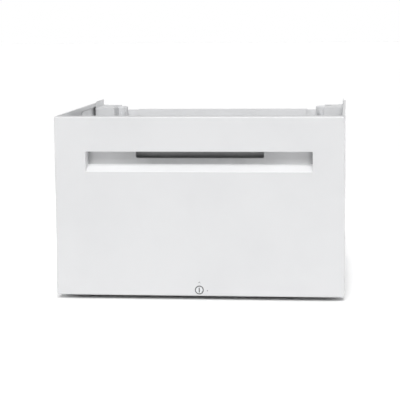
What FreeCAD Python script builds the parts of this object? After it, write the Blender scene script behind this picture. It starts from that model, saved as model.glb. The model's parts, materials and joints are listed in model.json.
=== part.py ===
"""Drawer pedestal for a front-loading washing machine: a folded sheet-steel frame on four levelling feet,
with a full-width drawer on ball-bearing runners and a coin-turn lock.

Frame: millimetres, +Z up, the front faces -Y, the origin is on the floor under the middle of the pedestal.
"""

import FreeCAD, Part
import os
import re
import Sketcher

doc = FreeCAD.newDocument("washer_pedestal")
sheet = doc.addObject("Spreadsheet::Sheet", "dim")

SIZES = {
    # overall
    "width": 600,
    "depth": 550,
    "panel_height": 374,
    "floor_gap": 9,
    # sheet steel frame
    "steel": 1.5,
    "frame_lift": 14,
    "hem_width": 5,
    "hem_drop": 8,
    "base_flange_margin": 1.7,
    "front_flange": 16,
    "rear_flange": 18,
    "seat_gap": 0.3,
    "post_width": 25,
    "post_depth": 60,
    "rail_height": 36.5,
    "rail_depth": 30,
    # corner brackets and the cups for the machine's feet
    "bracket_drop": 10.5,
    "bracket_width": 45.7,
    "bracket_depth": 107.5,
    "bracket_skirt": 30,
    "lip_rise": 4,
    "lip_slope": 12,
    "lip_margin": 4,
    "shelf_margin": 6,
    "shelf_edge": 12,
    "cup_clear": 4.2,
    "cup_inset": 32,
    "cup_radius": 18.5,
    "cup_bore": 15.5,
    "cup_height": 28,
    "cup_floor": 3,
    "cup_round": 2.5,
    "cup_gap": 1.5,
    "cup_window_width": 12,
    "cup_window_height": 15,
    "cup_window_shift": 1,
    # rear panel
    "sill_drop": 22,
    "sill_step": 1.8,
    "sill_inset": 44,
    "sill_fold": 12,
    "sill_lip": 22,
    "bead_margin": 120,
    "bead_height": 150,
    "bead_level": 110,
    "bead_rise": 3,
    # side braces
    "brace_gap": 39.5,
    "brace_length": 130,
    "brace_height": 40,
    "brace_reach": 24,
    "brace_drop": 10,
    "brace_slope": 22,
    # drawer front
    "front_thick": 26,
    "front_gap": 1.5,
    "skin": 1.5,
    "edge_round": 3,
    "liner_flange": 8,
    "buffer_radius": 5,
    "buffer_height": 1.2,
    "buffer_margin": 45,
    # grip recess
    "grip_margin": 65,
    "grip_height": 42.5,
    "grip_drop": 72.5,
    "grip_depth": 30,
    "grip_rise": 13.7,
    "grip_wall": 2.5,
    "grip_round": 2,
    "slot_width": 268,
    "slot_height": 16,
    "slot_depth": 14,
    "slot_round": 4,
    # runners
    "runner_level": 185,
    "runner_height": 45,
    "runner_depth": 12.7,
    "runner_gauge": 1.2,
    "runner_setback": 4,
    "runner_end_gap": 49,
    "runner_screw_offset": 8,
    "cage_gauge": 0.4,
    "cage_length": 260,
    "cage_setback": 105,
    "ball_radius": 1.7,
    "ball_pitch": 32.5,
    "ball_line_share": 0.55,
    # drawer box
    "box_end_gap": 66,
    "box_clearance": 6,
    "box_headroom": 4,
    "box_rim": 10,
    "box_foot": 14,
    "lug_gap": 1.5,
    # lock
    "lock_height": 13,
    "lock_barrel": 9.3,
    "lock_wall": 0.8,
    "lock_well": 3,
    "lock_proud": 0.8,
    "rotor_radius": 7.1,
    "shaft_radius": 4,
    "running_gap": 0.3,
    "coin_slot_width": 2.4,
    "coin_slot_length": 10.6,
    "coin_slot_depth": 2,
    "cam_reach": 24,
    "cam_width": 12,
    "cam_thick": 2,
    "cam_gap": 1,
    "cam_screw_thick": 2,
    "cam_screw_margin": 1,
    "nut_thick": 4,
    "nut_margin": 4,
    "notch_margin": 2,
    "notch_room": 10,
    "keeper_height": 14,
    "keeper_width": 44,
    # feet
    "foot_radius": 15,
    "foot_height": 7.5,
    "stud_radius": 5,
    "stud_length": 40,
    "stud_seat": 3,
    "collar_flats": 17,
    "collar_gap": 1,
    "insert_radius": 9,
    "insert_height": 14,
    # screws and rivets
    "screw_rise": 0.8,
    "screw_shank": 2,
    "rivet_pitch": 30,
    # how far a cut starts outside the face it opens
    "cut_over": 1,
}
RUNNER_SCREW_SHARES = (0.08, 0.5, 0.92)
FRONT_SCREW_SHARES = (0.1, 0.5, 0.9)

# Named places, as expressions on the sheet's sizes.
TOP = "(floor_gap + panel_height)"
FRONT = "(-depth / 2)"
BACK = "(depth / 2)"
BASE = "frame_lift"
BASE_TOP = "(frame_lift + steel)"
LINER_BACK = f"({FRONT} + front_thick)"
FRAME_FRONT = f"({LINER_BACK} + front_gap)"
INSIDE_FRONT = f"({FRAME_FRONT} + steel)"
INSIDE_BACK = f"({BACK} - 2 * steel)"
POST_OUT = "(hem_width + seat_gap)"
POST_IN = f"({POST_OUT} + post_width)"
BASE_FLANGE = f"({POST_IN} + base_flange_margin)"
BRACKET_TOP = f"({TOP} - bracket_drop)"
BRACKET_IN = f"({POST_OUT} + bracket_width)"
SHELF_TOP = f"({BRACKET_TOP} - bracket_skirt + steel / 2)"
CUP_SCREW_SEAT = f"({SHELF_TOP} + cup_floor - 2 * screw_rise)"
CUP_INSET = f"({POST_IN} + cup_clear + cup_radius)"
SHELF_IN = f"({CUP_INSET} + cup_radius + shelf_margin)"
SHELF_END = "(cup_inset + cup_radius + shelf_margin)"
SILL_HALF = f"(width / 2 - {BRACKET_IN} - sill_inset)"
RUNNER_FRONT = f"({INSIDE_FRONT} + runner_setback)"
RUNNER_BACK = f"({INSIDE_BACK} - runner_end_gap)"
OUTER_CAGE = "(runner_gauge + running_gap)"
MIDDLE_WEB = f"({OUTER_CAGE} + cage_gauge + running_gap)"
INNER_CAGE = f"({MIDDLE_WEB} + runner_gauge + running_gap)"
BALL_LINE = "(runner_depth * ball_line_share)"
BOX_OUT = f"({POST_IN} + runner_depth)"
BOX_BOTTOM = f"({BASE_TOP} + rail_height + box_clearance)"
BOX_TOP = f"({SHELF_TOP} - shelf_edge - box_headroom)"
BOX_BACK = f"({INSIDE_BACK} - box_end_gap)"
GRIP_HALF = "(width / 2 - grip_margin)"
BOX_LUG = f"(grip_margin - grip_wall - lug_gap - {BOX_OUT})"
GRIP_TOP = f"({TOP} - grip_drop)"
GRIP_BOTTOM = f"({GRIP_TOP} - grip_height)"
GRIP_BACK = f"({FRONT} + grip_depth)"
LOCK_LEVEL = "(floor_gap + lock_height)"
KEEPER_LEVEL = f"({LOCK_LEVEL} + keeper_height)"
CAM_FRONT = f"({INSIDE_FRONT} + 2 * steel + cam_gap)"

SIDES = {"left": -1, "right": 1}
ENDS = ("front", "rear")
ORIGIN_PLANES = {"X": "YZ_Plane", "Y": "XZ_Plane", "Z": "XY_Plane"}
nodes = []


def fill_sheet():
    for row, (alias, size) in enumerate(SIZES.items(), start=1):
        sheet.set(f"A{row}", alias)
        sheet.set(f"B{row}", str(size))
        sheet.setAlias(f"B{row}", alias)
    doc.recompute()


def bound(text):
    """An expression with each size's alias pointed at the sheet."""
    return re.sub(r"[a-z_]+", lambda word: "dim." + word.group(0), str(text))


def value(text):
    return float(sheet.evalExpression(bound(text)))


def ordered(pair):
    return pair if value(pair[0]) <= value(pair[1]) else (pair[1], pair[0])


def length(pair):
    return f"({pair[1]}) - ({pair[0]})"


def bind(thing, prop, text):
    thing.setExpression(prop, bound(text))


def node(thing, label):
    thing.Label = label
    nodes.append(thing)
    return thing


# ---- sketched bodies


def new_body(label):
    return node(doc.addObject("PartDesign::Body", "body_" + label), label)


def place_point(sketch, geometry, point, across, up):
    for kind, text in (("DistanceX", across), ("DistanceY", up)):
        row = sketch.addConstraint(Sketcher.Constraint(kind, geometry, point, value(text)))
        sketch.setExpression(f"Constraints[{row}]", bound(text))


def draw_polygon(sketch, corners):
    spots = [FreeCAD.Vector(value(a), value(b), 0) for a, b in corners]
    lines = [Part.LineSegment(spot, spots[(i + 1) % len(spots)]) for i, spot in enumerate(spots)]
    rows = sketch.addGeometry(lines)
    for i, row in enumerate(rows):
        following = rows[(i + 1) % len(rows)]
        sketch.addConstraint(Sketcher.Constraint("Coincident", row, 2, following, 1))
        place_point(sketch, row, 1, *corners[i])


def draw_circle(sketch, centre, radius):
    middle = FreeCAD.Vector(value(centre[0]), value(centre[1]), 0)
    row = sketch.addGeometry(Part.Circle(middle, FreeCAD.Vector(0, 0, 1), value(radius)))
    place_point(sketch, row, 3, *centre)
    size = sketch.addConstraint(Sketcher.Constraint("Radius", row, value(radius)))
    sketch.setExpression(f"Constraints[{size}]", bound(radius))


def draw(body, axis, at, loops):
    """A sketch square to an axis. A loop is a list of corners, or a circle as (centre, radius)."""
    sketch = body.newObject("Sketcher::SketchObject", body.Name + "_sketch")
    planes = [f for f in body.Origin.OriginFeatures if f.Role == ORIGIN_PLANES[axis]]
    sketch.AttachmentSupport = [(planes[0], "")]
    sketch.MapMode = "FlatFace"
    bind(sketch, "AttachmentOffset.Base.z", f"-({at})" if axis == "Y" else at)
    for loop in loops:
        if isinstance(loop, tuple):
            draw_circle(sketch, *loop)
        else:
            draw_polygon(sketch, loop)
    return sketch


def pad(body, axis, ends, loops):
    lo, hi = ordered(ends)
    feature = body.newObject("PartDesign::Pad", body.Name + "_pad")
    feature.Profile = draw(body, axis, hi if axis == "Y" else lo, loops)
    bind(feature, "Length", length((lo, hi)))
    doc.recompute()
    return feature


def pocket(body, axis, ends, loops):
    lo, hi = ordered(ends)
    before = body.Shape.Volume
    feature = body.newObject("PartDesign::Pocket", body.Name + "_pocket")
    feature.Profile = draw(body, axis, lo if axis == "Y" else hi, loops)
    bind(feature, "Length", length((lo, hi)))
    doc.recompute()
    if body.Shape.Volume > before - 0.01:
        raise RuntimeError(f"{body.Label}: a pocket along {axis} removed nothing")
    return feature


def fillet(body, chosen, radius):
    """Rounds the edges of the body's last feature that the test picks out by their bounding box."""
    base = body.Tip
    names = [f"Edge{i}" for i, edge in enumerate(base.Shape.Edges, start=1) if chosen(edge.BoundBox)]
    feature = body.newObject("PartDesign::Fillet", body.Name + "_fillet")
    feature.Base = (base, names)
    bind(feature, "Radius", radius)
    doc.recompute()
    return feature


def rectangle(across, up):
    return [(across[0], up[0]), (across[1], up[0]), (across[1], up[1]), (across[0], up[1])]


# ---- primitives and booleans


def block(name, x, y, z):
    thing = doc.addObject("Part::Box", name)
    for axis, size, ends in (("x", "Length", x), ("y", "Width", y), ("z", "Height", z)):
        lo, hi = ordered(ends)
        bind(thing, size, length((lo, hi)))
        bind(thing, f"Placement.Base.{axis}", lo)
    return thing


TURNS = {
    "X": FreeCAD.Rotation(FreeCAD.Vector(0, 1, 0), 90),
    "Y": FreeCAD.Rotation(FreeCAD.Vector(1, 0, 0), -90),
    "Z": FreeCAD.Rotation(),
}


def along(thing, axis, centre, start):
    """Turns a round primitive to an axis; centre is its place on the other two axes, in X Y Z order."""
    thing.Placement = FreeCAD.Placement(FreeCAD.Vector(), TURNS[axis])
    spots = list(centre)
    spots.insert("XYZ".index(axis), start)
    for letter, spot in zip("xyz", spots):
        bind(thing, f"Placement.Base.{letter}", spot)
    return thing


def rod(name, axis, centre, ends, radius):
    lo, hi = ordered(ends)
    thing = doc.addObject("Part::Cylinder", name)
    bind(thing, "Radius", radius)
    bind(thing, "Height", length((lo, hi)))
    return along(thing, axis, centre, lo)


def hexagon(name, axis, centre, ends, flats):
    lo, hi = ordered(ends)
    thing = doc.addObject("Part::Prism", name)
    thing.Polygon = 6
    bind(thing, "Circumradius", f"({flats}) / 1.7320508")
    bind(thing, "Height", length((lo, hi)))
    return along(thing, axis, centre, lo)


def joined(name, things):
    thing = doc.addObject("Part::MultiFuse", name)
    thing.Shapes = things
    return thing


def cut(name, base, tools):
    thing = doc.addObject("Part::Cut", name)
    thing.Base = base
    thing.Tool = tools[0] if len(tools) == 1 else joined(name + "_tools", tools)
    return thing


def grouped(name, things):
    thing = doc.addObject("Part::Compound", name)
    thing.Links = things
    return thing


def screw(name, axis, centre, seat, head_to, shank_to, shank="screw_shank"):
    """A headed fastener: the head from its seat to head_to, the shank from its seat the other way."""
    head = rod(name + "_head", axis, centre, (seat, head_to), f"2 * {shank}")
    stem = rod(name + "_shank", axis, centre, (seat, shank_to), shank)
    return joined(name, [head, stem])


# ---- places that depend on a side or a corner


def inward(side, distance):
    """X at a distance inward from a side panel's outer face."""
    return f"{SIDES[side]} * (width / 2 - ({distance}))"


def from_end(end, distance):
    """Y at a distance from the frame's inside front or rear face, towards the middle."""
    return f"{INSIDE_FRONT} + ({distance})" if end == "front" else f"{INSIDE_BACK} - ({distance})"


def corners():
    return [(end, side) for end in ENDS for side in SIDES]


def cup_centre(end, side):
    return inward(side, CUP_INSET), from_end(end, "cup_inset")


def foot_centre(end, side):
    return inward(side, f"{POST_OUT} + post_width / 2"), from_end(end, "post_depth / 2")


def rear_screw_levels():
    low = f"({BASE} + hem_drop * 3)"
    high = f"({BRACKET_TOP} - hem_drop * 2)"
    return [f"{low} + ({high} - {low}) * {i} / 3" for i in range(4)]


# ---- frame


def side_panel(side):
    body = new_body(f"side_panel_{side}")
    profile = [
        ("0", BASE),
        ("0", TOP),
        ("hem_width", TOP),
        ("hem_width", f"{TOP} - hem_drop"),
        ("hem_width - steel", f"{TOP} - hem_drop"),
        ("hem_width - steel", f"{TOP} - steel"),
        ("steel", f"{TOP} - steel"),
        ("steel", BASE_TOP),
        (BASE_FLANGE, BASE_TOP),
        (BASE_FLANGE, BASE),
    ]
    pad(body, "Y", (FRAME_FRONT, BACK), [[(inward(side, u), z) for u, z in profile]])
    flange_levels = (BASE, f"{TOP} - hem_drop - steel")
    front = rectangle((inward(side, 0), inward(side, "front_flange")), flange_levels)
    pad(body, "Y", (FRAME_FRONT, INSIDE_FRONT), [front])
    rear = rectangle((inward(side, 0), inward(side, "rear_flange")), flange_levels)
    pad(body, "Y", (BACK, f"{BACK} - steel"), [rear])
    holes = [(foot_centre(end, side), "stud_radius + running_gap") for end in ENDS]
    pocket(body, "Z", (BASE, BASE_TOP), holes)
    spots = [((inward(side, "rear_flange / 2"), level), "screw_shank") for level in rear_screw_levels()]
    pocket(body, "Y", (BACK, f"{BACK} - steel"), spots)


def rear_panel():
    body = new_body("rear_panel")
    edge = "(width / 2 - steel - seat_gap)"
    ear = f"(width / 2 - {BRACKET_IN})"
    sill = f"({TOP} - sill_drop)"
    raised = f"({sill} + sill_step)"
    half = [
        (edge, BRACKET_TOP),
        (ear, BRACKET_TOP),
        (ear, sill),
        (f"({SILL_HALF} + 2 * sill_step)", sill),
        (SILL_HALF, raised),
    ]
    outline = [(f"-{edge}", BASE_TOP), (edge, BASE_TOP)]
    outline += half
    outline += [(f"-{x}", z) for x, z in reversed(half)]
    pad(body, "Y", (INSIDE_BACK, f"{INSIDE_BACK} + steel"), [outline])
    fold = rectangle((f"-{SILL_HALF}", SILL_HALF), (f"{raised} - steel", raised))
    pad(body, "Y", (f"{INSIDE_BACK} - sill_fold", INSIDE_BACK), [fold])
    turned_down = rectangle((f"-{SILL_HALF}", SILL_HALF), (f"{raised} - sill_lip", raised))
    lip_at = f"{INSIDE_BACK} - sill_fold"
    pad(body, "Y", (lip_at, f"{lip_at} + steel"), [turned_down])
    bead_half = "(width / 2 - bead_margin)"
    bead = rectangle((f"-{bead_half}", bead_half), ("bead_level", "bead_level + bead_height"))
    pad(body, "Y", (f"{INSIDE_BACK} - bead_rise", INSIDE_BACK), [bead])
    inner = rectangle(
        (f"steel - {bead_half}", f"{bead_half} - steel"),
        ("bead_level + steel", "bead_level + bead_height - steel"),
    )
    pocket(body, "Y", (f"{INSIDE_BACK} - bead_rise + steel", f"{INSIDE_BACK} + steel"), [inner])
    spots = []
    for side in SIDES:
        for level in rear_screw_levels():
            spots.append(((inward(side, "rear_flange / 2"), level), "screw_shank"))
    pocket(body, "Y", (INSIDE_BACK, f"{INSIDE_BACK} + steel"), spots)


def channel_rail(end):
    """A C-shaped rail between two corner posts, its web towards the outside."""
    body = new_body(f"base_rail_{end}")
    reach = f"(width / 2 - {POST_IN})"
    top = f"({BASE_TOP} + rail_height)"
    profile = [
        ("0", BASE_TOP),
        ("0", top),
        ("rail_depth", top),
        ("rail_depth", f"{top} - steel"),
        ("steel", f"{top} - steel"),
        ("steel", f"{BASE_TOP} + steel"),
        ("rail_depth", f"{BASE_TOP} + steel"),
        ("rail_depth", BASE_TOP),
    ]
    pad(body, "X", (f"-{reach}", reach), [[(from_end(end, v), z) for v, z in profile]])
    return body


def base_rails():
    channel_rail("rear")
    rail = channel_rail("front")
    across = ("-cam_width - notch_margin", "cam_reach + notch_room")
    opening = rectangle(across, (f"{BASE_TOP} - cut_over", KEEPER_LEVEL))
    through = (f"{INSIDE_FRONT} - cut_over", f"{INSIDE_FRONT} + rail_depth + cut_over")
    pocket(rail, "Y", through, [opening])
    holes = [((x, keeper_rivet_level()), "screw_shank") for x in keeper_rivet_spots()]
    pocket(rail, "Y", (INSIDE_FRONT, f"{INSIDE_FRONT} + steel"), holes)


def top_rail_front():
    body = new_body("top_rail_front")
    reach = f"(width / 2 - {SHELF_IN})"
    top = f"({BRACKET_TOP} - steel)"
    profile = [
        ("0", f"{SHELF_TOP} - shelf_edge"),
        ("0", top),
        ("rail_depth", top),
        ("rail_depth", f"{top} - steel"),
        ("steel", f"{top} - steel"),
        ("steel", f"{SHELF_TOP} - shelf_edge"),
    ]
    pad(body, "X", (f"-{reach}", reach), [[(from_end("front", v), z) for v, z in profile]])


def corner_post(end, side):
    body = new_body(f"corner_post_{end}_{side}")
    outer = rectangle(
        (inward(side, POST_OUT), inward(side, POST_IN)),
        (from_end(end, 0), from_end(end, "post_depth")),
    )
    inner = rectangle(
        (inward(side, f"{POST_OUT} + steel"), inward(side, f"{POST_IN} - steel")),
        (from_end(end, "steel"), from_end(end, "post_depth - steel")),
    )
    pad(body, "Z", (BASE_TOP, f"{BRACKET_TOP} - steel"), [outer, inner])
    wall = (inward(side, f"{POST_IN} - steel"), inward(side, POST_IN))
    holes = [((runner_screw_y(end), level), "screw_shank") for level in runner_screw_levels()]
    pocket(body, "X", wall, holes)


def corner_bracket(end, side):
    """A pressed cap on the corner post: top plate, skirts, and a lower shelf under the machine's foot."""
    body = new_body(f"corner_bracket_{end}_{side}")
    across = (inward(side, POST_OUT), inward(side, BRACKET_IN))
    along_y = (from_end(end, 0), from_end(end, "bracket_depth"))
    pad(body, "Z", (f"{BRACKET_TOP} - steel", BRACKET_TOP), [rectangle(across, along_y)])
    skirt = (f"{BRACKET_TOP} - bracket_skirt", BRACKET_TOP)
    pad(body, "Y", (from_end(end, "bracket_depth - steel"), along_y[1]), [rectangle(across, skirt)])
    inner_wall = (inward(side, f"{BRACKET_IN} - steel"), inward(side, BRACKET_IN))
    pad(body, "X", inner_wall, [rectangle(along_y, skirt)])
    shelf_across = (inward(side, f"{POST_IN} + seat_gap"), inward(side, SHELF_IN))
    shelf_along = (from_end(end, 0), from_end(end, SHELF_END))
    pad(body, "Z", (f"{SHELF_TOP} - steel", SHELF_TOP), [rectangle(shelf_across, shelf_along)])
    edge = (inward(side, f"{SHELF_IN} - steel"), inward(side, SHELF_IN))
    pad(body, "X", edge, [rectangle(shelf_along, (f"{SHELF_TOP} - shelf_edge", SHELF_TOP))])
    round_cut = (cup_centre(end, side), "cup_radius + cup_gap")
    pocket(body, "Z", (SHELF_TOP, f"{BRACKET_TOP} + cut_over"), [round_cut])
    pocket(body, "Z", (f"{SHELF_TOP} - steel", SHELF_TOP), [(cup_centre(end, side), "screw_shank")])
    if end == "rear":
        locating_lip(body, side)


def locating_lip(body, side):
    """The upturned edge that keeps the machine from sliding sideways, with sloped ends."""
    near = from_end("rear", "bracket_depth - lip_margin")
    near_top = from_end("rear", "bracket_depth - lip_margin - lip_slope")
    far = from_end("rear", "lip_margin / 2")
    outline = [
        (near, f"{BRACKET_TOP} - steel"),
        (near, TOP),
        (near_top, f"{TOP} + lip_rise"),
        (far, f"{TOP} + lip_rise"),
        (far, f"{BRACKET_TOP} - steel"),
    ]
    pad(body, "X", (inward(side, POST_OUT), inward(side, f"{POST_OUT} + steel")), [outline])


def foot_cup(end, side):
    body = new_body(f"foot_cup_{end}_{side}")
    centre = cup_centre(end, side)
    top = f"({SHELF_TOP} + cup_height)"
    pad(body, "Z", (SHELF_TOP, top), [(centre, "cup_radius")])
    pocket(body, "Z", (f"{SHELF_TOP} + cup_floor", top), [(centre, "cup_bore")])
    rim = value(top)
    wide = value("2 * cup_radius")
    fillet(body, lambda box: box.ZMin > rim - 0.01 and box.XLength > wide - 0.01, "cup_round")
    pocket(body, "Z", (SHELF_TOP, f"{SHELF_TOP} + cup_floor"), [(centre, "screw_shank")])
    pocket(body, "Z", (CUP_SCREW_SEAT, f"{SHELF_TOP} + cup_floor"), [(centre, "2 * screw_shank")])
    middle = inward(side, f"{CUP_INSET} + cup_radius / 2 - cup_window_shift")
    window = rectangle(
        (f"{middle} - cup_window_width / 2", f"{middle} + cup_window_width / 2"),
        (f"{SHELF_TOP} + cup_floor", f"{SHELF_TOP} + cup_floor + cup_window_height"),
    )
    pocket(body, "Y", (f"{centre[1]} - cup_radius - cut_over", centre[1]), [window])


def side_brace(side):
    """An angle that stiffens the side panel's upper edge midway along it, its front end cut on a slope."""
    body = new_body(f"side_brace_{side}")
    end = f"({INSIDE_BACK} - bracket_depth - brace_gap)"
    start = f"({end} - brace_length)"
    top = f"({TOP} - brace_drop)"
    low = f"({top} - brace_height)"
    leg = [
        (f"{start} + brace_slope", top),
        (end, top),
        (end, low),
        (start, low),
        (start, f"{top} - brace_slope"),
    ]
    pad(body, "X", (inward(side, "steel"), inward(side, "2 * steel")), [leg])
    shelf = f"({low} + brace_slope)"
    ledge = rectangle((inward(side, "steel"), inward(side, "brace_reach")), (shelf, f"{shelf} + steel"))
    pad(body, "Y", (f"{start} + steel", end), [ledge])


def frame():
    for side in SIDES:
        side_panel(side)
        side_brace(side)
    rear_panel()
    base_rails()
    top_rail_front()
    for end, side in corners():
        corner_post(end, side)
        corner_bracket(end, side)
        foot_cup(end, side)


# ---- levelling feet


def levelling_foot(end, side):
    x, y = foot_centre(end, side)
    tag = f"{end}_{side}"
    seat = "(foot_height - stud_seat)"
    base = rod(f"pad_disc_{tag}", "Z", (x, y), ("0", "foot_height"), "foot_radius")
    socket = rod(f"pad_socket_{tag}", "Z", (x, y), (seat, "foot_height"), "stud_radius")
    node(cut(f"foot_pad_{tag}", base, [socket]), f"foot_pad_{tag}")
    stem = rod(f"stud_stem_{tag}", "Z", (x, y), (seat, f"{seat} + stud_length"), "stud_radius")
    collar_top = f"{BASE} - collar_gap"
    collar = hexagon(f"stud_collar_{tag}", "Z", (x, y), ("foot_height", collar_top), "collar_flats")
    node(joined(f"foot_stud_{tag}", [stem, collar]), f"foot_stud_{tag}")


def feet():
    inserts = []
    for end, side in corners():
        levelling_foot(end, side)
        centre = foot_centre(end, side)
        ends = (BASE_TOP, f"{BASE_TOP} + insert_height")
        barrel = rod(f"insert_barrel_{end}_{side}", "Z", centre, ends, "insert_radius")
        bore = rod(f"insert_bore_{end}_{side}", "Z", centre, ends, "stud_radius + running_gap")
        inserts.append(cut(f"insert_{end}_{side}", barrel, [bore]))
    node(grouped("foot_inserts", inserts), "foot_inserts")


# ---- runners: distances inward are counted from the post's inner face


def runner_screw_y(end):
    return from_end(end, "post_depth / 2")


def runner_screw_levels():
    return ["runner_level - runner_screw_offset", "runner_level + runner_screw_offset"]


def drawer_screw_spots():
    run = f"({RUNNER_BACK} - {RUNNER_FRONT})"
    return [f"{RUNNER_FRONT} + {run} * {share}" for share in RUNNER_SCREW_SHARES]


def runner_member(label, side, web, flange_to, half_height):
    """A C-shaped runner member: its back lies between the web distances, its flanges run to flange_to."""
    body = new_body(f"{label}_{side}")
    near, far = web
    profile = [
        (near, f"-{half_height}"),
        (near, half_height),
        (flange_to, half_height),
        (flange_to, f"({half_height} - runner_gauge)"),
        (far, f"({half_height} - runner_gauge)"),
        (far, f"(runner_gauge - {half_height})"),
        (flange_to, f"(runner_gauge - {half_height})"),
        (flange_to, f"-{half_height}"),
    ]
    outline = [(inward(side, f"{POST_IN} + {u}"), f"runner_level + {z}") for u, z in profile]
    pad(body, "Y", (RUNNER_FRONT, RUNNER_BACK), [outline])
    return body


def runner(side):
    nest = "(runner_gauge + 2 * ball_radius + 2 * running_gap)"
    outer_half = "(runner_height / 2)"
    middle_half = f"({outer_half} - {nest})"
    inner_half = f"({middle_half} - {nest})"
    wall = (inward(side, POST_IN), inward(side, f"{POST_IN} + runner_gauge"))
    outer_edge = "(runner_depth - 2 * running_gap)"
    outer = runner_member("runner_outer", side, ("0", "runner_gauge"), outer_edge, outer_half)
    holes = []
    for end in ENDS:
        for level in runner_screw_levels():
            holes.append(((runner_screw_y(end), level), "2 * screw_shank"))
    pocket(outer, "X", wall, holes)

    inner_web = ("(runner_depth - runner_gauge)", "runner_depth")
    middle_web = (MIDDLE_WEB, f"({MIDDLE_WEB} + runner_gauge)")
    runner_member("runner_middle", side, middle_web, f"({inner_web[0]} - 3 * running_gap)", middle_half)
    inner_edge = f"({INNER_CAGE} + cage_gauge + 3 * running_gap)"
    inner = runner_member("runner_inner", side, tuple(reversed(inner_web)), inner_edge, inner_half)
    spots = [((y, "runner_level"), "screw_shank") for y in drawer_screw_spots()]
    wall = (inward(side, f"{POST_IN} + {inner_web[0]}"), inward(side, BOX_OUT))
    pocket(inner, "X", wall, spots)

    ball_race("outer", side, OUTER_CAGE, f"({outer_half} - runner_gauge - ball_radius - running_gap)")
    ball_race("inner", side, INNER_CAGE, f"({middle_half} - runner_gauge - ball_radius - running_gap)")


def ball_race(label, side, web, ball_level):
    """A cage strip folded over two rows of balls, one row above and one below."""
    name = f"ball_race_{label}_{side}"
    start = f"({RUNNER_FRONT} + cage_setback)"
    ends = (start, f"{start} + cage_length")
    near = inward(side, f"{POST_IN} + {web}")
    web_x = (near, inward(side, f"{POST_IN} + {web} + cage_gauge"))
    web_z = (f"runner_level - {ball_level} - cage_gauge", f"runner_level + {ball_level} + cage_gauge")
    plates = [block(f"{name}_web", web_x, ends, web_z)]
    across = (near, inward(side, f"{POST_IN} + {BALL_LINE} + ball_radius + 3 * running_gap"))
    ball_x = inward(side, f"{POST_IN} + {BALL_LINE}")
    balls = []
    windows = []
    count = int(value("cage_length / ball_pitch"))
    for row, sign in (("upper", "+"), ("lower", "-")):
        level = f"runner_level {sign} {ball_level}"
        strip = (f"{level} - cage_gauge", f"{level} + cage_gauge")
        plates.append(block(f"{name}_{row}_strip", across, ends, strip))
        for i in range(count):
            y = f"{start} + ball_pitch * ({i} + 0.5)"
            ball = doc.addObject("Part::Sphere", f"{name}_{row}_ball_{i}")
            bind(ball, "Radius", "ball_radius")
            balls.append(along(ball, "Z", (ball_x, y), level))
            window = (f"{level} - 2 * cage_gauge", f"{level} + 2 * cage_gauge")
            radius = "ball_radius + running_gap / 2"
            windows.append(rod(f"{name}_{row}_window_{i}", "Z", (ball_x, y), window, radius))
    cage = cut(f"{name}_cage", joined(f"{name}_plates", plates), windows)
    node(grouped(name, [cage] + balls), name)


# ---- drawer


def front_skin():
    body = new_body("drawer_front_skin")
    half = "(width / 2)"
    face = rectangle((f"-{half}", half), ("floor_gap", TOP))
    pad(body, "Y", (FRONT, LINER_BACK), [face])
    front = value(FRONT)
    thick = value("front_thick")
    fillet(body, lambda box: box.YMax < front + 0.01 or box.YLength > thick - 0.01, "edge_round")
    inner = rectangle((f"skin - {half}", f"{half} - skin"), ("floor_gap + skin", f"{TOP} - skin"))
    pocket(body, "Y", (f"{FRONT} + skin", LINER_BACK), [inner])
    grip = rectangle((f"-{GRIP_HALF}", GRIP_HALF), (GRIP_BOTTOM, GRIP_TOP))
    lock = (("0", LOCK_LEVEL), "lock_barrel")
    pocket(body, "Y", (FRONT, f"{FRONT} + skin"), [grip, lock])
    low, high = value(f"{GRIP_BOTTOM} - cut_over"), value(f"{GRIP_TOP} + cut_over")
    inside = value("skin") + 0.01

    def grip_corner(box):
        return box.YLength > inside - 0.02 and box.YMax < front + inside and low < box.ZMin < high

    fillet(body, lambda box: grip_corner(box) and box.XLength < 0.01 and box.ZLength < 0.01, "grip_round")


def front_liner():
    body = new_body("drawer_front_liner")
    edge = "(width / 2 - skin - seat_gap)"
    low, high = "floor_gap + skin + seat_gap", f"{TOP} - skin - seat_gap"
    pan_front = f"({LINER_BACK} - skin - liner_flange)"
    pad(body, "Y", (pan_front, LINER_BACK), [rectangle((f"-{edge}", edge), (low, high))])
    inner = rectangle((f"skin - {edge}", f"{edge} - skin"), (f"{low} + skin", f"{high} - skin"))
    pocket(body, "Y", (pan_front, f"{LINER_BACK} - skin"), [inner])
    margin = f"({GRIP_HALF} + grip_wall + seat_gap)"
    levels = (f"{GRIP_BOTTOM} - grip_wall - seat_gap", f"{GRIP_TOP} + grip_wall + seat_gap")
    grip = rectangle((f"-{margin}", margin), levels)
    lock = (("0", LOCK_LEVEL), "lock_barrel + seat_gap")
    screws = [(spot, "screw_shank") for side in SIDES for spot in front_screw_spots(side)]
    pocket(body, "Y", (f"{LINER_BACK} - skin", LINER_BACK), [grip, lock] + screws)


def front_screw_spots(side):
    x = inward(side, f"{BOX_OUT} + {BOX_LUG} / 2 + steel")
    rise = f"({BOX_TOP} - {BOX_BOTTOM})"
    return [(x, f"{BOX_BOTTOM} + {rise} * {share}") for share in FRONT_SCREW_SHARES]


def grip_profile(wall):
    """The recess from the side: a level ceiling, an upright back and a floor that slopes to the front."""
    front = f"({FRONT} + skin)" if wall != "0" else FRONT
    return [
        (front, f"{GRIP_BOTTOM} - {wall}"),
        (front, f"{GRIP_TOP} + {wall}"),
        (f"{GRIP_BACK} + {wall}", f"{GRIP_TOP} + {wall}"),
        (f"{GRIP_BACK} + {wall}", f"{GRIP_BOTTOM} + grip_rise - {wall}"),
    ]


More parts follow.
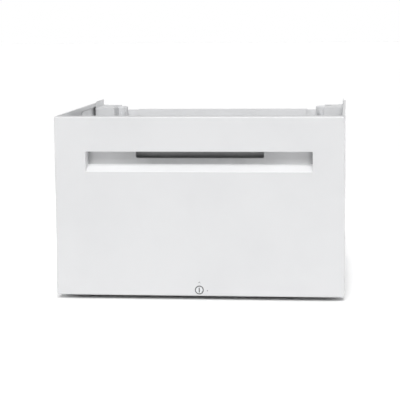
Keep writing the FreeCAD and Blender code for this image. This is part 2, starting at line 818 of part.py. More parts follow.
def grip_recess():
    body = new_body("grip_recess")
    half = f"({GRIP_HALF} + grip_wall)"
    pad(body, "X", (f"-{half}", half), [grip_profile("grip_wall")])
    slot_half = "(slot_width / 2 + grip_wall)"
    slot_back = f"({GRIP_BACK} + grip_wall + slot_depth)"
    slot = rectangle(
        (f"-{slot_half}", slot_half),
        (f"{GRIP_TOP} - slot_height - grip_wall", f"{GRIP_TOP} + grip_wall"),
    )
    pad(body, "Y", (GRIP_BACK, f"{slot_back} + grip_wall"), [slot])
    pocket(body, "X", (f"-{GRIP_HALF}", GRIP_HALF), [grip_profile("0")])
    opening = rectangle(("-slot_width / 2", "slot_width / 2"), (f"{GRIP_TOP} - slot_height", GRIP_TOP))
    pocket(body, "Y", (GRIP_BACK, slot_back), [opening])
    wide, deep, low = value("slot_width / 2"), value("slot_depth"), value(f"{GRIP_TOP} - slot_height")

    def slot_corner(box):
        level = abs(box.ZMin - low) < 0.01 and box.ZLength < 0.01
        return level and abs(abs(box.XMin) - wide) < 0.01 and box.YLength > deep - 0.01

    fillet(body, slot_corner, "slot_round")


def drawer_side(side):
    body = new_body(f"drawer_side_{side}")
    profile = [
        ("0", BOX_BOTTOM),
        ("0", BOX_TOP),
        ("box_rim", BOX_TOP),
        ("box_rim", f"{BOX_TOP} - steel"),
        ("steel", f"{BOX_TOP} - steel"),
        ("steel", f"{BOX_BOTTOM} + steel"),
        ("box_foot", f"{BOX_BOTTOM} + steel"),
        ("box_foot", BOX_BOTTOM),
    ]
    outline = [(inward(side, f"{BOX_OUT} + {u}"), z) for u, z in profile]
    pad(body, "Y", (LINER_BACK, BOX_BACK), [outline])
    lug = rectangle((inward(side, BOX_OUT), inward(side, f"{BOX_OUT} + {BOX_LUG}")), (BOX_BOTTOM, BOX_TOP))
    pad(body, "Y", (LINER_BACK, f"{LINER_BACK} + steel"), [lug])
    spots = [(spot, "screw_shank") for spot in front_screw_spots(side)]
    pocket(body, "Y", (LINER_BACK, f"{LINER_BACK} + steel"), spots)
    wall = (inward(side, BOX_OUT), inward(side, f"{BOX_OUT} + steel"))
    pocket(body, "X", wall, [((y, "runner_level"), "screw_shank") for y in drawer_screw_spots()])


def drawer_floor():
    body = new_body("drawer_floor")
    edge = f"(width / 2 - {BOX_OUT} - steel - seat_gap)"
    across = (f"-{edge}", edge)
    front = f"({LINER_BACK} + steel + seat_gap)"
    back = f"({BOX_BACK} - steel - seat_gap)"
    level = f"({BOX_BOTTOM} + steel)"
    pad(body, "Z", (level, f"{level} + steel"), [rectangle(across, (front, back))])
    lip = rectangle((f"{BOX_LUG} - {edge}", f"{edge} - {BOX_LUG}"), (BOX_BOTTOM, level))
    for y in ((front, f"{front} + steel"), (back, f"{back} - steel")):
        pad(body, "Y", y, [lip])


def drawer_back():
    body = new_body("drawer_back")
    edge = f"(width / 2 - {BOX_OUT} - steel - seat_gap)"
    rim = f"(width / 2 - {BOX_OUT} - box_rim - seat_gap)"
    top = f"({BOX_TOP} - steel - seat_gap)"
    plate = rectangle((f"-{edge}", edge), (f"{BOX_BOTTOM} + steel + seat_gap", top))
    pad(body, "Y", (BOX_BACK, f"{BOX_BACK} - steel"), [plate])
    ledge = rectangle((f"-{rim}", rim), (f"{top} - steel", top))
    pad(body, "Y", (BOX_BACK, f"{BOX_BACK} - box_rim"), [ledge])


def drawer():
    front_skin()
    front_liner()
    grip_recess()
    drawer_floor()
    drawer_back()
    for side in SIDES:
        drawer_side(side)
        runner(side)


# ---- lock


def keeper_rivet_spots():
    return ["-rivet_pitch / 2", "rivet_pitch / 2"]


def keeper_rivet_level():
    return f"({KEEPER_LEVEL} + 3 * screw_shank)"


def lock():
    centre = ("0", LOCK_LEVEL)
    face = f"({FRONT} - lock_proud)"
    barrel_back = f"({CAM_FRONT} - running_gap)"
    barrel = rod("housing_barrel", "Y", centre, (FRONT, barrel_back), "lock_barrel")
    well_floor = f"({FRONT} + lock_well)"
    well = rod("housing_well", "Y", centre, (FRONT, well_floor), "lock_barrel - lock_wall")
    bore = rod("housing_bore", "Y", centre, (FRONT, barrel_back), "shaft_radius + running_gap")
    node(cut("lock_housing", barrel, [well, bore]), "lock_housing")

    disc = rod("rotor_disc", "Y", centre, (face, f"{well_floor} - running_gap"), "rotor_radius")
    shaft = rod("rotor_shaft", "Y", centre, (FRONT, f"{CAM_FRONT} + cam_thick"), "shaft_radius")
    coin_slot = block(
        "rotor_coin_slot",
        ("-coin_slot_width / 2", "coin_slot_width / 2"),
        (face, f"{face} + coin_slot_depth"),
        (f"{LOCK_LEVEL} - coin_slot_length / 2", f"{LOCK_LEVEL} + coin_slot_length / 2"),
    )
    node(cut("lock_rotor", joined("rotor_solid", [disc, shaft]), [coin_slot]), "lock_rotor")

    cam_ends = (CAM_FRONT, f"{CAM_FRONT} + cam_thick")
    levels = (f"{LOCK_LEVEL} - cam_width / 2", f"{LOCK_LEVEL} + cam_width / 2")
    arm = block("cam_arm", ("0", "cam_reach"), cam_ends, levels)
    boss = rod("cam_boss", "Y", centre, cam_ends, "cam_width / 2")
    hole = rod("cam_hole", "Y", centre, cam_ends, "shaft_radius")
    node(cut("lock_cam", joined("cam_solid", [arm, boss]), [hole]), "lock_cam")

    cam_back = f"({CAM_FRONT} + cam_thick)"
    head_ends = (cam_back, f"{cam_back} + cam_screw_thick")
    node(rod("cam_screw", "Y", centre, head_ends, "shaft_radius + cam_screw_margin"), "cam_screw")

    nut_ends = (f"{FRONT} + skin", f"{FRONT} + skin + nut_thick")
    nut = hexagon("nut_blank", "Y", centre, nut_ends, "2 * lock_barrel + nut_margin")
    thread = rod("nut_thread", "Y", centre, nut_ends, "lock_barrel")
    node(cut("lock_nut", nut, [thread]), "lock_nut")

    plate = block(
        "keeper_plate",
        ("-keeper_width / 2", "keeper_width / 2"),
        (f"{INSIDE_FRONT} + steel", f"{INSIDE_FRONT} + 2 * steel"),
        (KEEPER_LEVEL, f"{BASE_TOP} + rail_height - steel"),
    )
    seats = (INSIDE_FRONT, f"{INSIDE_FRONT} + 2 * steel")
    holes = []
    rivets = []
    for i, x in enumerate(keeper_rivet_spots()):
        spot = (x, keeper_rivet_level())
        holes.append(rod(f"keeper_hole_{i}", "Y", spot, seats, "screw_shank"))
        head_to = f"{INSIDE_FRONT} - screw_rise"
        rivets.append(screw(f"keeper_rivet_{i}", "Y", spot, seats[0], head_to, seats[1]))
    node(cut("lock_keeper", plate, holes), "lock_keeper")
    node(grouped("keeper_rivets", rivets), "keeper_rivets")


# ---- fasteners and buffers


def screw_groups():
    runner_screws = []
    drawer_screws = []
    front_screws = []
    rear_screws = []
    for side in SIDES:
        for end in ENDS:
            for i, level in enumerate(runner_screw_levels()):
                seat = inward(side, POST_IN)
                head_to = inward(side, f"{POST_IN} + runner_gauge")
                shank_to = inward(side, f"{POST_IN} - steel")
                centre = (runner_screw_y(end), level)
                name = f"runner_screw_{side}_{end}_{i}"
                runner_screws.append(screw(name, "X", centre, seat, head_to, shank_to))
        for i, y in enumerate(drawer_screw_spots()):
            seat = inward(side, f"{BOX_OUT} + steel")
            head_to = inward(side, f"{BOX_OUT} + steel + 2 * screw_rise")
            shank_to = inward(side, f"{BOX_OUT} - runner_gauge")
            name = f"drawer_screw_{side}_{i}"
            drawer_screws.append(screw(name, "X", (y, "runner_level"), seat, head_to, shank_to))
        for i, spot in enumerate(front_screw_spots(side)):
            seat = f"{LINER_BACK} + steel"
            name = f"front_screw_{side}_{i}"
            ends = (f"{seat} + 2 * screw_rise", f"{LINER_BACK} - skin")
            front_screws.append(screw(name, "Y", spot, seat, *ends))
        for i, level in enumerate(rear_screw_levels()):
            spot = (inward(side, "rear_flange / 2"), level)
            ends = (f"{BACK} + screw_rise", INSIDE_BACK)
            rear_screws.append(screw(f"rear_screw_{side}_{i}", "Y", spot, BACK, *ends))
    node(grouped("runner_screws", runner_screws), "runner_screws")
    node(grouped("drawer_runner_screws", drawer_screws), "drawer_runner_screws")
    node(grouped("drawer_front_screws", front_screws), "drawer_front_screws")
    node(grouped("rear_panel_screws", rear_screws), "rear_panel_screws")


def cup_screws():
    screws = []
    for end, side in corners():
        ends = (f"{SHELF_TOP} + cup_floor", f"{SHELF_TOP} - steel")
        spot = cup_centre(end, side)
        screws.append(screw(f"cup_screw_{end}_{side}", "Z", spot, CUP_SCREW_SEAT, *ends))
    node(grouped("foot_cup_screws", screws), "foot_cup_screws")


def buffers():
    discs = []
    for side in SIDES:
        for name, level in (("low", f"{BASE} + buffer_margin"), ("high", f"{TOP} - buffer_margin")):
            spot = (inward(side, "front_flange / 2"), level)
            ends = (f"{FRAME_FRONT} - buffer_height", FRAME_FRONT)
            discs.append(rod(f"buffer_{side}_{name}", "Y", spot, ends, "buffer_radius"))
    node(grouped("drawer_buffers", discs), "drawer_buffers")


# ---- build, check and write


def check_model():
    for thing in doc.Objects:
        if "Invalid" in thing.State or "Error" in thing.State:
            raise RuntimeError(f"{thing.Label}: {thing.State}")
    for thing in nodes:
        if thing.Shape.isNull() or not thing.Shape.isValid():
            raise RuntimeError(f"{thing.Label}: its shape is not valid")
    if len({thing.Label for thing in nodes}) != len(nodes):
        raise RuntimeError("two sub-parts share a label")


def write_parts():
    os.makedirs("parts", exist_ok=True)
    for thing in nodes:
        thing.Shape.exportStep(os.path.join("parts", thing.Label + ".step"))
    print(f"{len(nodes)} sub-parts written")


fill_sheet()
frame()
feet()
drawer()
lock()
screw_groups()
cup_screws()
buffers()
doc.recompute()
check_model()
write_parts()
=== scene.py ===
"""Looks for the washing machine pedestal: its finishes, screws, feet, linings and pressings."""
import json
import math

import bmesh
import bpy
from mathutils import Matrix, Vector


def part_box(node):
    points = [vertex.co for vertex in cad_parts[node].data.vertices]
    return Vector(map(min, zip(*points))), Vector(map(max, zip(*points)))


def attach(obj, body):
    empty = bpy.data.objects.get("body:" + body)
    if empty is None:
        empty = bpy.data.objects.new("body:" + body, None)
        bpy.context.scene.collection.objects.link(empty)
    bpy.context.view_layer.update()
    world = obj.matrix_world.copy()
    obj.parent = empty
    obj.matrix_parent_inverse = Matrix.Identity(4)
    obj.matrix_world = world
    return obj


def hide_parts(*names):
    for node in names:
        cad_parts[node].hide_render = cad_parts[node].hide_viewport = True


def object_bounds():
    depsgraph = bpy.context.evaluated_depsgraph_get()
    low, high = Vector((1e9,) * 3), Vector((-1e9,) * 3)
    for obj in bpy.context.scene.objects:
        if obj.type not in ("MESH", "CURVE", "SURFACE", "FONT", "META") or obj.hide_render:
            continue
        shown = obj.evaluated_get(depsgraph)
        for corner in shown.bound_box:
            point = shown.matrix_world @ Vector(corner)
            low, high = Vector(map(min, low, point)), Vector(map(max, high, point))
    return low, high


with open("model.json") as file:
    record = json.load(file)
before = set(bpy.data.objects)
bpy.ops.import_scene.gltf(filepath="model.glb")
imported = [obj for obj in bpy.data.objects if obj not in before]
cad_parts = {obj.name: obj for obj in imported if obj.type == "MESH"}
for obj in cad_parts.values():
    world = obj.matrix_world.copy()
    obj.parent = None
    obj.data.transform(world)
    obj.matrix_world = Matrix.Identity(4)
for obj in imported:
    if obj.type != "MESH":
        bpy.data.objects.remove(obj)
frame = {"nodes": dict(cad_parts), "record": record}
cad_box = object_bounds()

MM = 0.001
NODES = frame["nodes"]
SLOT_OF = {part["node"]: part["material_slot"] for part in frame["record"]["subparts"]}
ENDS = ("front", "rear")
SIDES = (("left", -1), ("right", 1))

# sizes that the parts' boxes don't give
GRIP_WALL = 2.5 * MM
SLOT_DEPTH = 14 * MM
SLOT_HALF_WIDTH = 134 * MM
SLOT_HALF_HEIGHT = 8 * MM
COIN_SLOT_HALF_WIDTH = 1.2 * MM
COIN_SLOT_HALF_LENGTH = 5.3 * MM
COIN_SLOT_DEPTH = 2.0 * MM
STUD_RADIUS = 5 * MM
COLLAR_TOP = 13 * MM
SHEET = 1.5 * MM

# sizes of what is added here; heads are turned by so many degrees from one to the next
HEAD_TURN = 37.0
SCREW_PITCH = 0.7 * MM
STUD_PITCH = 1.5 * MM
SUNK = 0.2 * MM
RIB_HALF_WIDTH = 8 * MM
RIB_RISE = 1.6 * MM
RIB_SPACING = 64 * MM
WELD_MARGIN = 9 * MM

# how a CAD part's faces are merged and its edges rounded, with the angles in degrees
MERGE_GAP = 0.005 * MM
FLAT_WITHIN = 0.2
HARD_FROM = 35
USUAL_ROUND = 0.3 * MM
EDGE_ROUND = {
    "drawer_front_skin": 0.5 * MM,
    "grip_recess": 0.6 * MM,
    "rear_panel": 0.7 * MM,
    "lock_housing": 0.2 * MM,
}
UNROUNDED = ("ball_race", "lock_rotor")

# the studio and its camera
FLOOR_HALF = 30.0
ROOM_LIGHT = 0.62
SIDE_DIMMING = 0.55
BACK_WATTS = 8.0
CAMERA_PLACE = (0.3130, -3.0662, 0.5828)
CAMERA_LOOK = (-0.0979, 0.98986, -0.10286)
CAMERA_ROLL = math.radians(-0.467)
CAMERA_LENS = 123.59
CAMERA_SENSOR = 36.0
CAMERA_SHIFT = (-0.04, -0.0992)
CAMERA_CLIP = (0.05, 100.0)

# how deep each finish's texture goes
GRAIN_DEPTH = 0.05 * MM
PEEL_DEPTH = 0.06 * MM
ROLL_DEPTH = 0.03 * MM
PLATE_DEPTH = 0.02 * MM
POLISH_DEPTH = 0.01 * MM
RUBBER_DEPTH = 0.08 * MM


# ---- shader maths


class Level:
    """A value in a set of nodes; arithmetic on it adds Math nodes."""

    def __init__(self, work, socket):
        self.work = work
        self.socket = socket

    def worked(self, operation, *values, clamp=False):
        settings = {"operation": operation, "use_clamp": clamp}
        node = self.work.add("ShaderNodeMath", settings, dict(enumerate(values)))
        return Level(self.work, node.outputs[0])

    def __add__(self, other):
        return self.worked("ADD", self, other)

    def __radd__(self, other):
        return self.worked("ADD", other, self)

    def __sub__(self, other):
        return self.worked("SUBTRACT", self, other)

    def __rsub__(self, other):
        return self.worked("SUBTRACT", other, self)

    def __mul__(self, other):
        return self.worked("MULTIPLY", self, other)

    def __rmul__(self, other):
        return self.worked("MULTIPLY", other, self)

    def unsigned(self):
        return self.worked("ABSOLUTE", self)

    def above(self, edge, width):
        """0 below the edge and 1 once it is passed by the width."""
        return self.worked("MULTIPLY", self - edge, 1 / width, clamp=True)


class NodeWork:
    """The nodes of one material, or of the studio's air."""

    def __init__(self, tree):
        self.tree = tree

    def add(self, kind, settings=None, sockets=None):
        """A new node: its type, its settings, then its sockets' values or links."""
        node = self.tree.nodes.new(kind)
        for key, value in (settings or {}).items():
            setattr(node, key, value)
        for key, value in (sockets or {}).items():
            self.feed(node.inputs[key], value)
        return node

    def feed(self, socket, value):
        if isinstance(value, Level):
            value = value.socket
        if isinstance(value, bpy.types.NodeSocket):
            self.tree.links.new(value, socket)
        else:
            socket.default_value = value

    def along(self, axis, place):
        """A place's share along X, Y or Z."""
        return Level(self, self.add("ShaderNodeSeparateXYZ", None, {0: place}).outputs[axis])


class Finish(NodeWork):
    """A material with a principled shader and whatever feeds it."""

    def __init__(self, name, **constants):
        self.material = bpy.data.materials.new(name)
        self.material.use_nodes = True
        super().__init__(self.material.node_tree)
        self.shader = self.tree.nodes["Principled BSDF"]
        for socket, value in constants.items():
            self.shader.inputs[socket.replace("_", " ")].default_value = value
        self.place = self.add("ShaderNodeTexCoord").outputs["Object"]

    def stretched(self, scale):
        """The place on the piece, with each axis scaled by its own factor."""
        settings = {"operation": "MULTIPLY"}
        return self.add("ShaderNodeVectorMath", settings, {0: self.place, 1: scale}).outputs[0]

    def noise(self, per_metre, detail=2.0, roughness=0.5, place=None):
        sockets = {
            "Vector": place or self.place,
            "Scale": per_metre,
            "Detail": detail,
            "Roughness": roughness,
        }
        return Level(self, self.add("ShaderNodeTexNoise", None, sockets).outputs["Fac"])

    def cells(self, per_metre):
        """The distance to the nearest of many scattered points."""
        sockets = {"Vector": self.place, "Scale": per_metre}
        return Level(self, self.add("ShaderNodeTexVoronoi", None, sockets).outputs["Distance"])

    def blended(self, share, one, other):
        """A colour between two others."""
        node = self.add("ShaderNodeMix", {"data_type": "RGBA"}, {"Factor": share})
        self.feed(node.inputs[6], one)
        self.feed(node.inputs[7], other)
        return node.outputs[2]

    def colour(self, value):
        self.feed(self.shader.inputs["Base Color"], value)

    def rough(self, value):
        self.feed(self.shader.inputs["Roughness"], value)

    def raised(self, height, distance, strength=1.0):
        sockets = {"Height": height, "Distance": distance, "Strength": strength}
        bump = self.add("ShaderNodeBump", None, sockets)
        self.feed(self.shader.inputs["Normal"], bump.outputs["Normal"])


def tint(red, green, blue):
    return (red, green, blue, 1.0)


def scaled(share, colour):
    return tuple(share * part for part in colour)


# ---- finishes


def enamel(name, colour, shade, gloss, peel):
    """Baked enamel on sheet steel: orange peel, faint cloudiness and a few specks."""
    finish = Finish(name, Specular_IOR_Level=0.5, Coat_Weight=0.12, Coat_Roughness=0.12)
    cloud = finish.noise(7.0, 3.0, 0.55).above(0.42, 0.25)
    speck = finish.noise(1400.0, 1.0).above(0.74, 0.05)
    ground = finish.blended(cloud, tint(*colour), tint(*shade))
    finish.colour(finish.blended(speck * 0.35, ground, tint(*scaled(0.8, shade))))
    wiped = finish.noise(22.0, 4.0, 0.6, finish.stretched((1.0, 1.0, 0.22)))
    grain = finish.noise(650.0, 2.0, 0.45)
    finish.rough(gloss + 0.12 * wiped + 0.04 * grain)
    finish.raised(grain + 0.35 * finish.noise(210.0, 1.0), PEEL_DEPTH, peel)
    return finish.material


def moulded(name, colour, shade, gloss, grain_size):
    """Injection-moulded plastic with a spark-eroded grain."""
    finish = Finish(name, Specular_IOR_Level=0.45)
    pits = finish.cells(grain_size)
    flow = finish.noise(9.0, 2.0, 0.5, finish.stretched((0.4, 1.0, 2.0)))
    finish.colour(finish.blended(flow.above(0.35, 0.35), tint(*colour), tint(*shade)))
    finish.rough(gloss + 0.15 * finish.noise(60.0, 3.0) - 0.06 * pits)
    finish.raised(pits + 0.5 * finish.noise(0.6 * grain_size, 2.0), GRAIN_DEPTH, 0.3)
    return finish.material


def grip_shaded_plastic(name, ledge, back_wall_shade, painted_shading):
    """White plastic of the grip recess: a bright ledge before a back wall painted greyer as shade.

    The painted shade on the back wall is greyest in the middle and near both of its end walls.
    """
    finish = Finish(name, Specular_IOR_Level=0.45)
    pits = finish.cells(1800.0)
    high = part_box("grip_recess")[1]
    wall_from = high.y - SLOT_DEPTH - 2 * GRIP_WALL - 0.5 * MM
    end, shaded = high.x - GRIP_WALL, 12 * MM
    behind = finish.along("Y", finish.place).above(wall_from, 0.3 * MM)
    off_middle = finish.along("X", finish.place).unsigned()
    # painted shade: the back wall is greyer in the middle and near both end walls, in patches
    middle_shade = 1 - off_middle.above(90 * MM, 100 * MM)
    ends = off_middle.above(end - shaded, shaded)
    painted_shade = (middle_shade + ends) * (0.55 + 0.9 * finish.noise(35.0, 3.0))
    wall = finish.blended(painted_shade.above(0.0, 1.0), tint(*back_wall_shade), tint(*painted_shading))
    finish.colour(finish.blended(behind, tint(*ledge), wall))
    finish.rough(0.36 + 0.15 * finish.noise(60.0, 3.0) - 0.06 * pits)
    finish.raised(pits + 0.5 * finish.noise(1100.0, 2.0), GRAIN_DEPTH, 0.3)
    return finish.material


def slot_shade_plastic(name, low_z, high_z, dark, paler):
    """Dark plastic standing in for the shade inside the finger slot, with painted light making it
    paler towards its top edge.
    """
    finish = Finish(name, Specular_IOR_Level=0.4)
    # painted light towards the slot's top edge, painted shade lower down
    painted_shading = finish.along("Z", finish.place).above(low_z, high_z - low_z)
    share = painted_shading * (1.6 - 0.6 * painted_shading) * (0.8 + 0.4 * finish.noise(90.0, 3.0))
    finish.colour(finish.blended(share.above(0.0, 1.0), tint(*dark), tint(*paler)))
    finish.rough(0.42 + 0.2 * finish.noise(70.0, 2.0))
    finish.raised(finish.cells(2000.0), GRAIN_DEPTH, 0.3)
    return finish.material


def rolled_zinc(name, colour, gloss=0.26):
    """Bright zinc on rolled steel, with drawing lines along Y."""
    finish = Finish(name, Metallic=1.0)
    lines = finish.noise(900.0, 3.0, 0.6, finish.stretched((1.0, 0.03, 1.0)))
    bloom = finish.noise(28.0, 4.0, 0.6)
    finish.colour(finish.blended(bloom.above(0.4, 0.3), tint(*colour), tint(*scaled(0.78, colour))))
    finish.rough(gloss + 0.16 * lines + 0.14 * bloom)
    finish.raised(lines, ROLL_DEPTH, 0.35)
    return finish.material


def plated_zinc(name, colour, gloss=0.28):
    """Electroplated zinc on a small part: cloudy, lightly pitted."""
    finish = Finish(name, Metallic=1.0)
    bloom = finish.noise(240.0, 4.0, 0.6)
    pits = finish.noise(2600.0, 2.0, 0.5)
    blue = (0.9 * colour[0], 0.95 * colour[1], colour[2])
    finish.colour(finish.blended(bloom.above(0.4, 0.25), tint(*colour), tint(*blue)))
    finish.rough(gloss + 0.22 * bloom)
    finish.raised(pits, PLATE_DEPTH, 0.4)
    return finish.material


def ball_steel(name, bright, greased):
    """Polished steel under a film of grease."""
    finish = Finish(name, Metallic=1.0)
    film = finish.noise(400.0, 3.0, 0.55)
    finish.colour(finish.blended(film.above(0.45, 0.2), tint(*bright), tint(*greased)))
    finish.rough(0.12 + 0.2 * film)
    finish.raised(finish.noise(1500.0, 2.0), POLISH_DEPTH, 0.3)
    return finish.material


def black_rubber(name, clean, dusty):
    """Matt moulded rubber with dust on it."""
    finish = Finish(name, Specular_IOR_Level=0.35)
    dust = finish.noise(160.0, 4.0, 0.65)
    grain = finish.noise(3000.0, 2.0, 0.6)
    finish.colour(finish.blended(dust.above(0.48, 0.3), tint(*clean), tint(*dusty)))
    finish.rough(0.66 + 0.2 * dust)
    finish.raised(grain + 0.4 * dust, RUBBER_DEPTH, 0.5)
    return finish.material


# front_white, panel_white and frame_white, with the bracket and rear whites below, are one white
# enamel; their different lightness is painted light and shade, set part by part
FINISHES = {
    "front_white": enamel("front_enamel_shaded", (0.585, 0.588, 0.595), (0.57, 0.573, 0.581), 0.24, 0.16),
    "panel_white": enamel("side_enamel", (0.69, 0.694, 0.701), (0.67, 0.674, 0.682), 0.27, 0.22),
    "frame_white": enamel("frame_enamel", (0.735, 0.739, 0.747), (0.705, 0.71, 0.72), 0.3, 0.3),
    "drawer_grey": enamel("drawer_enamel", (0.66, 0.67, 0.685), (0.63, 0.64, 0.655), 0.32, 0.3),
    # the grip plastic's second and third colours are painted shade on the recess's back wall
    "grip_white": grip_shaded_plastic(
        "grip_shaded_plastic", (0.77, 0.773, 0.78), (0.55, 0.553, 0.56), (0.36, 0.363, 0.369)
    ),
    "cup_grey": moulded("cup_plastic", (0.70, 0.705, 0.715), (0.67, 0.675, 0.685), 0.42, 1500.0),
    "lock_plastic": moulded("lock_plastic", (0.62, 0.63, 0.64), (0.58, 0.59, 0.6), 0.34, 2400.0),
    "runner_zinc": rolled_zinc("runner_zinc", (0.72, 0.73, 0.74)),
    "ball_steel": ball_steel("polished_ball_steel", (0.66, 0.67, 0.69), (0.5, 0.49, 0.46)),
    "zinc_plate": plated_zinc("zinc_plate", (0.68, 0.69, 0.7)),
    "zinc_screw": plated_zinc("zinc_screw", (0.7, 0.71, 0.72), 0.22),
    "black_rubber": black_rubber("black_rubber", (0.03, 0.03, 0.032), (0.085, 0.083, 0.08)),
}
# the brackets' greyer white is painted shade and the rear panel's lighter white is painted light,
# on the same enamel as the frame
BRACKET_SHADED_WHITE = enamel("bracket_enamel_shaded", (0.675, 0.679, 0.688), (0.645, 0.65, 0.66), 0.3, 0.3)
REAR_LIT_WHITE = enamel("rear_enamel_lit", (0.74, 0.744, 0.752), (0.71, 0.714, 0.722), 0.28, 0.24)
# dark grey standing in for the shade in the lock's groove and coin slot: painted shade
WELL_SHADE_GREY = moulded("lock_well_shade_plastic", (0.2, 0.202, 0.205), (0.17, 0.172, 0.175), 0.4, 2400.0)
PRINT_GREY = moulded("mark_print", (0.16, 0.162, 0.166), (0.13, 0.132, 0.135), 0.45, 2400.0)


# ---- mesh tools


def linked(name, mesh):
    thing = bpy.data.objects.new(name, mesh)
    bpy.context.scene.collection.objects.link(thing)
    return thing


def piece(name, bm, body, finish, smooth=30.0):
    """A finished piece of the model, shaded smooth up to an angle and riding on a body."""
    bmesh.ops.recalc_face_normals(bm, faces=bm.faces)
    mesh = bpy.data.meshes.new(name)
    bm.to_mesh(mesh)
    bm.free()
    mesh.materials.append(finish)
    for face in mesh.polygons:
        face.use_smooth = True
    mesh.set_sharp_from_angle(angle=math.radians(smooth))
    thing = linked(name, mesh)
    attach(thing, body)
    return thing


def solids_of(node):
    """The box of each separate solid in a node."""
    bm = bmesh.new()
    bm.from_mesh(NODES[node].data)
    bmesh.ops.remove_doubles(bm, verts=bm.verts, dist=1e-6)
    unseen = set(bm.verts)
    boxes = []
    while unseen:
        front = [unseen.pop()]
        found = list(front)
        while front:
            for edge in front.pop().link_edges:
                for vert in edge.verts:
                    if vert in unseen:
                        unseen.discard(vert)
                        front.append(vert)
                        found.append(vert)
        low = Vector(min(v.co[i] for v in found) for i in range(3))
        high = Vector(max(v.co[i] for v in found) for i in range(3))
        boxes.append((low, high))
    bm.free()
    return sorted(boxes, key=lambda box: tuple(round(c, 5) for c in box[0]))


def turned(bm, profile, segments=40, wave=None):
    """A solid of revolution about Z from (radius, height) points.

    wave(angle, radius, height), where there is one, is added to the radius.
    """
    rings = []
    for radius, height in profile:
        if radius < 1e-9:
            rings.append([bm.verts.new((0.0, 0.0, height))])
            continue
        ring = []
        for i in range(segments):
            angle = 2 * math.pi * i / segments
            reach = radius + (wave(angle, radius, height) if wave else 0.0)
            ring.append(bm.verts.new((reach * math.cos(angle), reach * math.sin(angle), height)))
        rings.append(ring)
    for low, high in zip(rings, rings[1:]):
        for i in range(max(len(low), len(high))):
            j = (i + 1) % segments
            around = ((low, i), (low, j), (high, j), (high, i))
            unique = list(dict.fromkeys(ring[k % len(ring)] for ring, k in around))
            if len(unique) > 2:
                bm.faces.new(unique)
    return bm


def skinned(bm, rings):
    """Faces between each ring of vertices and the next."""
    for one, other in zip(rings, rings[1:]):
        for i in range(len(one)):
            j = (i + 1) % len(one)
            bm.faces.new([one[i], one[j], other[j], other[i]])


def capped(bm, rings):
    """A closed solid through rings of vertices, the first at its bottom."""
    bm.faces.new(list(reversed(rings[0])))
    bm.faces.new(rings[-1])
    skinned(bm, rings)
    return bm


def carved(body_bm, cutter_bm, operation="DIFFERENCE"):
    """The first shape cut by the second, as a new bmesh."""
    pair = []
    for bm in (body_bm, cutter_bm):
        bmesh.ops.recalc_face_normals(bm, faces=bm.faces)
        mesh = bpy.data.meshes.new("carving")
        bm.to_mesh(mesh)
        bm.free()
        pair.append(linked("carving", mesh))
    solid, cutter = pair
    modifier = solid.modifiers.new("cut", "BOOLEAN")
    modifier.operation = operation
    modifier.solver = "EXACT"
    modifier.object = cutter
    bpy.context.view_layer.update()
    result = bmesh.new()
    result.from_mesh(solid.evaluated_get(bpy.context.evaluated_depsgraph_get()).data)
    for thing in pair:
        mesh = thing.data
        bpy.data.objects.remove(thing)
        bpy.data.meshes.remove(mesh)
    return result


def copied(target, source, matrix):
    """A copy of one bmesh, moved, into another."""
    places = {v: target.verts.new(matrix @ v.co) for v in source.verts}
    for face in source.faces:
        target.faces.new([places[v] for v in face.verts])


def facing(axis):
    """A turn that takes +Z to the given direction."""
    return Vector((0.0, 0.0, 1.0)).rotation_difference(Vector(axis)).to_matrix().to_4x4()


def prism(bm, outline, low, high):
    """A straight prism over a flat outline of (x, y) points."""
    return capped(bm, [[bm.verts.new((x, y, z)) for x, y in outline] for z in (low, high)])


def arc_points(centre, radius, start, end, steps):
    """Points along a circle's arc, between two angles in degrees."""
    spots = []
    for i in range(steps + 1):
        angle = math.radians(start + (end - start) * i / steps)
        spots.append((centre[0] + radius * math.cos(angle), centre[1] + radius * math.sin(angle)))
    return spots


# ---- fasteners


def pan_head(radius, height):
    """A low domed head with a cross recess, its seat at height 0."""
    rim = 0.42 * height
    profile = [(0.0, 0.0), (0.93 * radius, 0.0), (radius, 0.06 * height), (radius, rim)]
    for i in range(1, 8):
        slope = i / 8 * math.pi / 2
        profile.append((radius * math.cos(slope) ** 0.55, rim + (height - rim) * math.sin(slope)))
    profile.append((0.0, height))
    head = turned(bmesh.new(), profile, 48)
    arm, half_arm, inner_corner = 0.56 * radius, 0.13 * radius, 0.2 * radius
    outline = []
    for quarter in range(4):
        turn = Matrix.Rotation(quarter * math.pi / 2, 2)
        for spot in ((arm, -half_arm), (arm, half_arm), (inner_corner, inner_corner)):
            outline.append(tuple(turn @ Vector(spot)))
    cross = bmesh.new()
    rings = []
    for share, level in ((0.6, 0.28 * height), (1.02, 1.3 * height)):
        rings.append([cross.verts.new((share * x, share * y, level)) for x, y in outline])
    return carved(head, capped(cross, rings))


def threaded(bm, radius, length, pitch, depth_share, segments=28):
    """A rod with a rolled helical thread, standing on Z from 0."""
    rows = max(6, int(length / pitch * 6))
    depth = 0.6 * pitch * depth_share
    profile = [(radius, length * i / rows) for i in range(rows + 1)]

    def wave(angle, _, height):
        phase = (height / pitch - angle / (2 * math.pi)) % 1.0
        crest = 1.0 - abs(2.0 * phase - 1.0)
        fade = min(1.0, height / pitch, (length - height) / pitch)
        lead = 1.0 - 0.5 * (1.0 - fade)
        return -depth * (1.0 - min(1.0, 1.35 * crest) * lead)

    turned(bm, profile, segments, wave)
    rings = list(bm.verts)
    bm.faces.new(list(reversed(rings[:segments])))
    bm.faces.new(rings[-segments:])
    return bm


